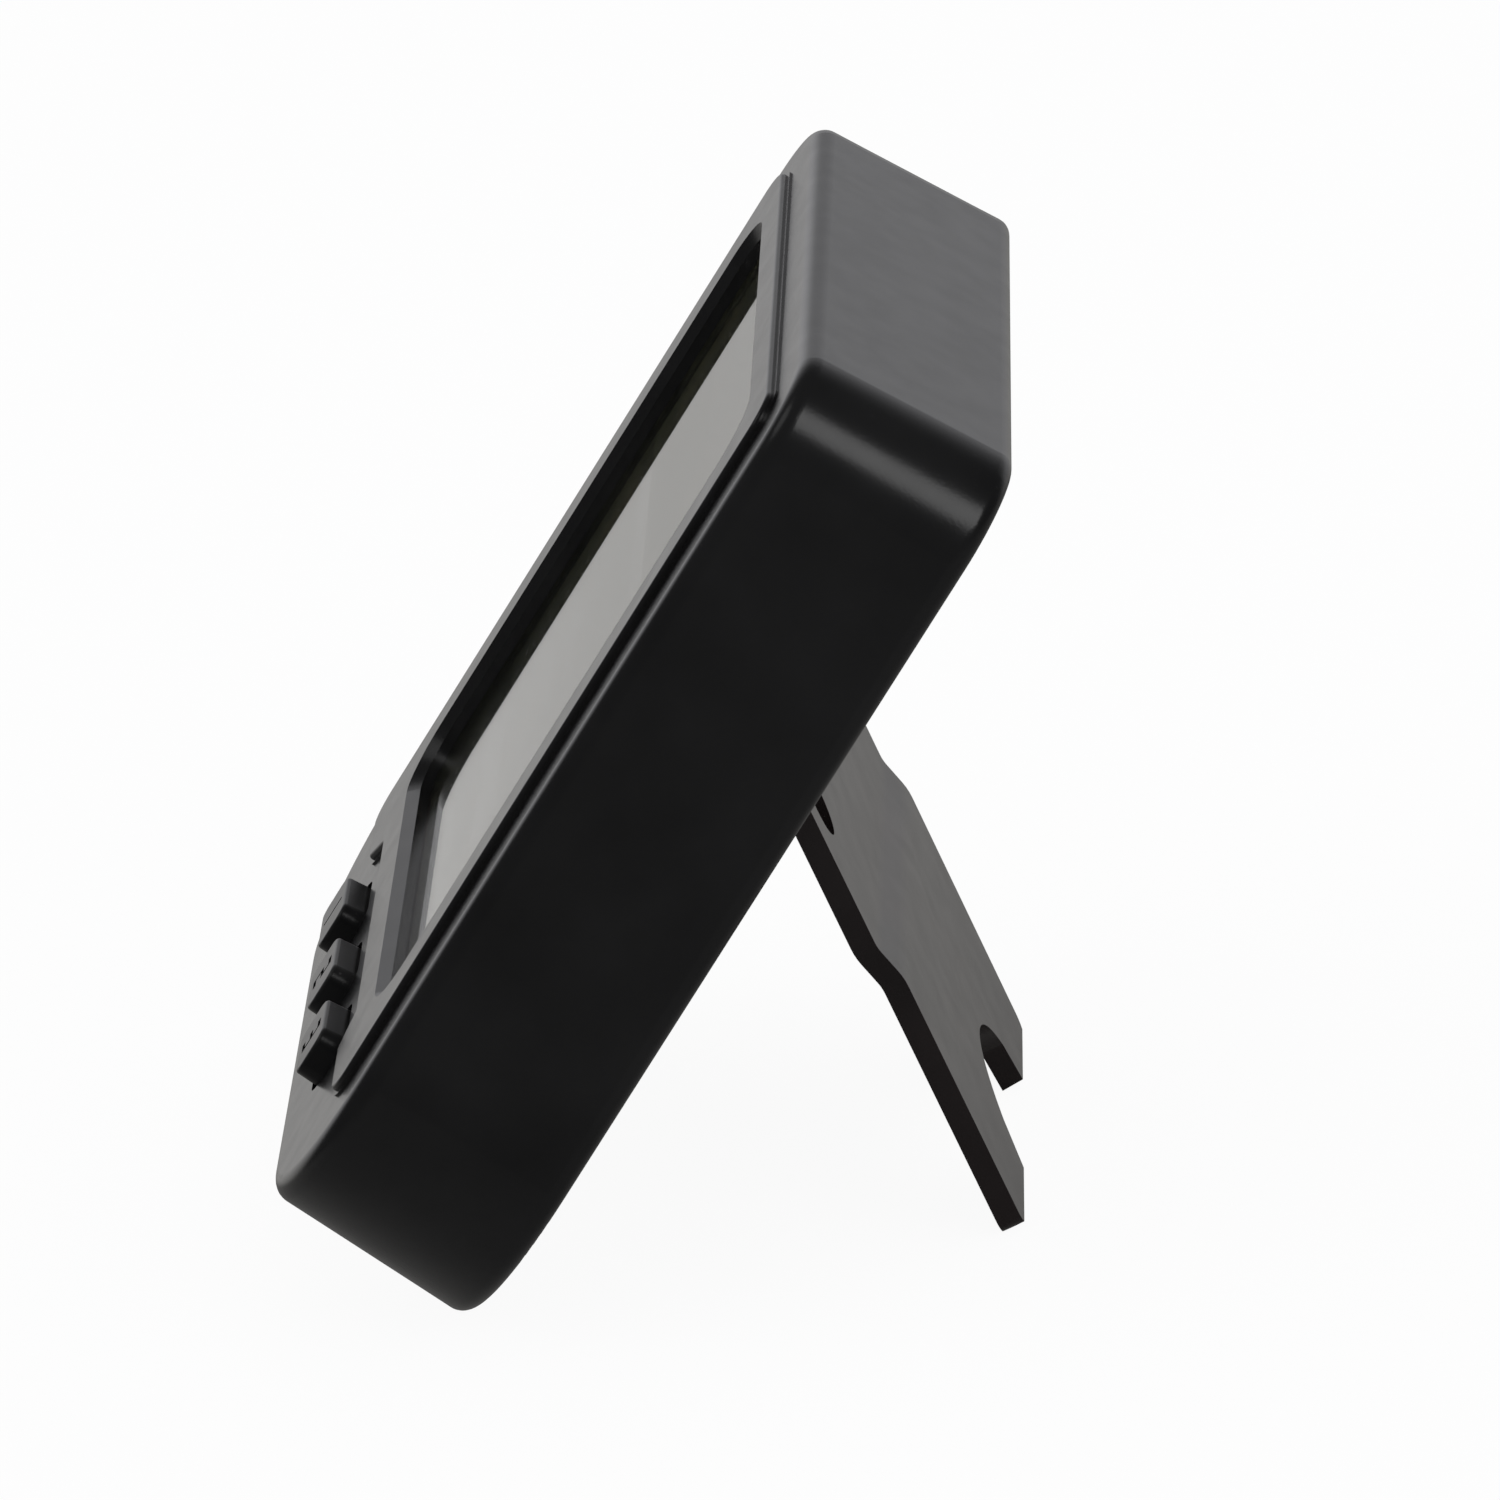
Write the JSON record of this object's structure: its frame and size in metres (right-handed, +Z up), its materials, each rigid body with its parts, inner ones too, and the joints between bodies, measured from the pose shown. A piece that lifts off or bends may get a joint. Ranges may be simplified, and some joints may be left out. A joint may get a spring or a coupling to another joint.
{
  "type": "geiger counter",
  "caption": "Desk geiger counter with a wide display, three rubber keys and a fold-out rear stand, leaning back on its stand.",
  "frame": {"origin": "centre of the bounding box's foot, on the surface the counter stands on", "axes": "+X to the user's right along the display, +Y away from the user, +Z up; the display faces -Y and leans back on the open stand"},
  "size_m": [0.0938, 0.0682, 0.0813],
  "materials": {
    "case_plastic": "fine satin texture",
    "stand_plastic": "matte",
    "key_rubber": "matte",
    "contact_carbon": "matte",
    "lens_clear": "clear gloss",
    "lcd_glass": "clear",
    "lcd_film": "gloss",
    "frame_white": "matte",
    "strip_rubber": "matte",
    "board_laminate": "solder mask",
    "chip_epoxy": "matte",
    "can_metal": "satin",
    "ceramic_part": "matte",
    "ferrite": "matte",
    "copper_wire": "enamelled",
    "capacitor_sleeve": "gloss",
    "film_capacitor_case": "gloss",
    "buzzer_plastic": "matte",
    "brass_disc": "satin",
    "tube_steel": "satin",
    "tube_insulator": "glazed",
    "anode_wire": "bright",
    "contact_steel": "plated",
    "cell_jacket": "printed sleeve",
    "screw_steel": "blackened"
  },
  "bodies": {
    "housing": {"front_housing": "case_plastic", "rear_cover": "case_plastic", "keypad_mat": "key_rubber", "display_lens": "lens_clear", "lcd_front_film": "lcd_film", "lcd_front_glass": "lcd_glass", "lcd_rear_glass": "lcd_glass", "lcd_reflector": "lcd_film", "lcd_frame": "frame_white", "elastomer_strip": "strip_rubber", "main_board": "board_laminate", "microcontroller": "chip_epoxy", "crystal": "can_metal", "chip_resistors": "ceramic_part", "buzzer_case": "buzzer_plastic", "buzzer_disc": "brass_disc", "transformer_core": "ferrite", "transformer_winding": "copper_wire", "bulk_capacitor": "capacitor_sleeve", "film_capacitors": "film_capacitor_case", "gm_tube_body": "tube_steel", "gm_tube_plugs": "tube_insulator", "gm_tube_caps": "contact_steel", "gm_tube_anode": "anode_wire", "tube_clips": "contact_steel", "battery_1": "cell_jacket", "battery_2": "cell_jacket", "battery_springs": "contact_steel", "battery_bridge": "contact_steel", "battery_terminals": "contact_steel", "case_screws": "screw_steel", "board_screws": "screw_steel"},
    "stand": {"stand_leg": "stand_plastic"},
    "door": {"battery_door": "case_plastic"},
    "key_1": {"key_1": "key_rubber", "contact_pill_1": "contact_carbon"},
    "key_2": {"key_2": "key_rubber", "contact_pill_2": "contact_carbon"},
    "key_3": {"key_3": "key_rubber", "contact_pill_3": "contact_carbon"}
  },
  "joints": [
    {"name": "stand_hinge", "type": "hinge", "parent": "housing", "child": "stand", "pos_m": [0, 0.01152, 0.0436], "axis": [-1, 0, 0], "range_deg": [0, 56.2]},
    {"name": "battery_door_hinge", "type": "hinge", "parent": "housing", "child": "door", "pos_m": [0, 0.01733, 0.04785], "axis": [-1, 0, 0], "range_deg": [0, 60]},
    {"name": "key_1_press", "type": "slide", "parent": "housing", "child": "key_1", "axis": [0, 0.7958, -0.6056], "range_m": [0, 0.0009], "stiffness_N_per_m": 400, "springref_m": -0.0005},
    {"name": "key_2_press", "type": "slide", "parent": "housing", "child": "key_2", "axis": [0, 0.7958, -0.6056], "range_m": [0, 0.0009], "stiffness_N_per_m": 400, "springref_m": -0.0005},
    {"name": "key_3_press", "type": "slide", "parent": "housing", "child": "key_3", "axis": [0, 0.7958, -0.6056], "range_m": [0, 0.0009], "stiffness_N_per_m": 400, "springref_m": -0.0005}
  ]
}
